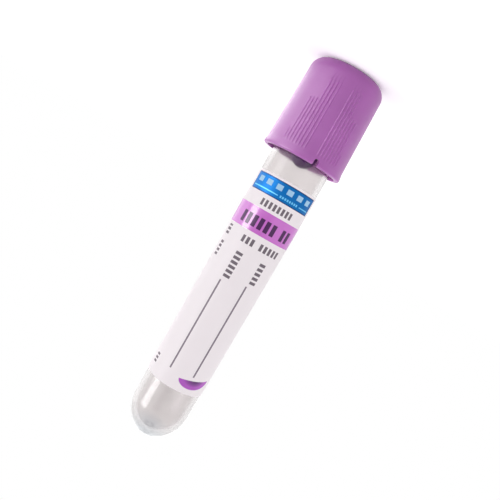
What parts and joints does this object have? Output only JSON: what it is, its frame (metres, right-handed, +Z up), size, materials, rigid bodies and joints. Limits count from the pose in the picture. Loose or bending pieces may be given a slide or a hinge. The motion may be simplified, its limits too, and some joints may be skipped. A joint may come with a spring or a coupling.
{
  "type": "blood collection tube",
  "caption": "Clear round-bottomed sample tube with a wrapped label, closed by a rubber stopper held in a ribbed push-on cap.",
  "frame": {"origin": "on the tube's axis, in the level plane that the closed tube stands on, cap down", "axes": "+Z is up and runs along the tube from its cap to its round bottom; the front of the label faces -Y"},
  "size_m": [0.0174, 0.0174, 0.0851],
  "materials": {
    "tube": "gloss",
    "label": "satin",
    "cap": "satin",
    "stopper": "matte"
  },
  "bodies": {
    "closure": {"cap": "cap", "stopper": "stopper"},
    "vial": {"tube": "tube", "label": "label"}
  },
  "joints": [
    {"name": "tube_pull", "type": "slide", "parent": "closure", "child": "vial", "axis": [0, 0, 1], "range_m": [0, 0.02]}
  ]
}
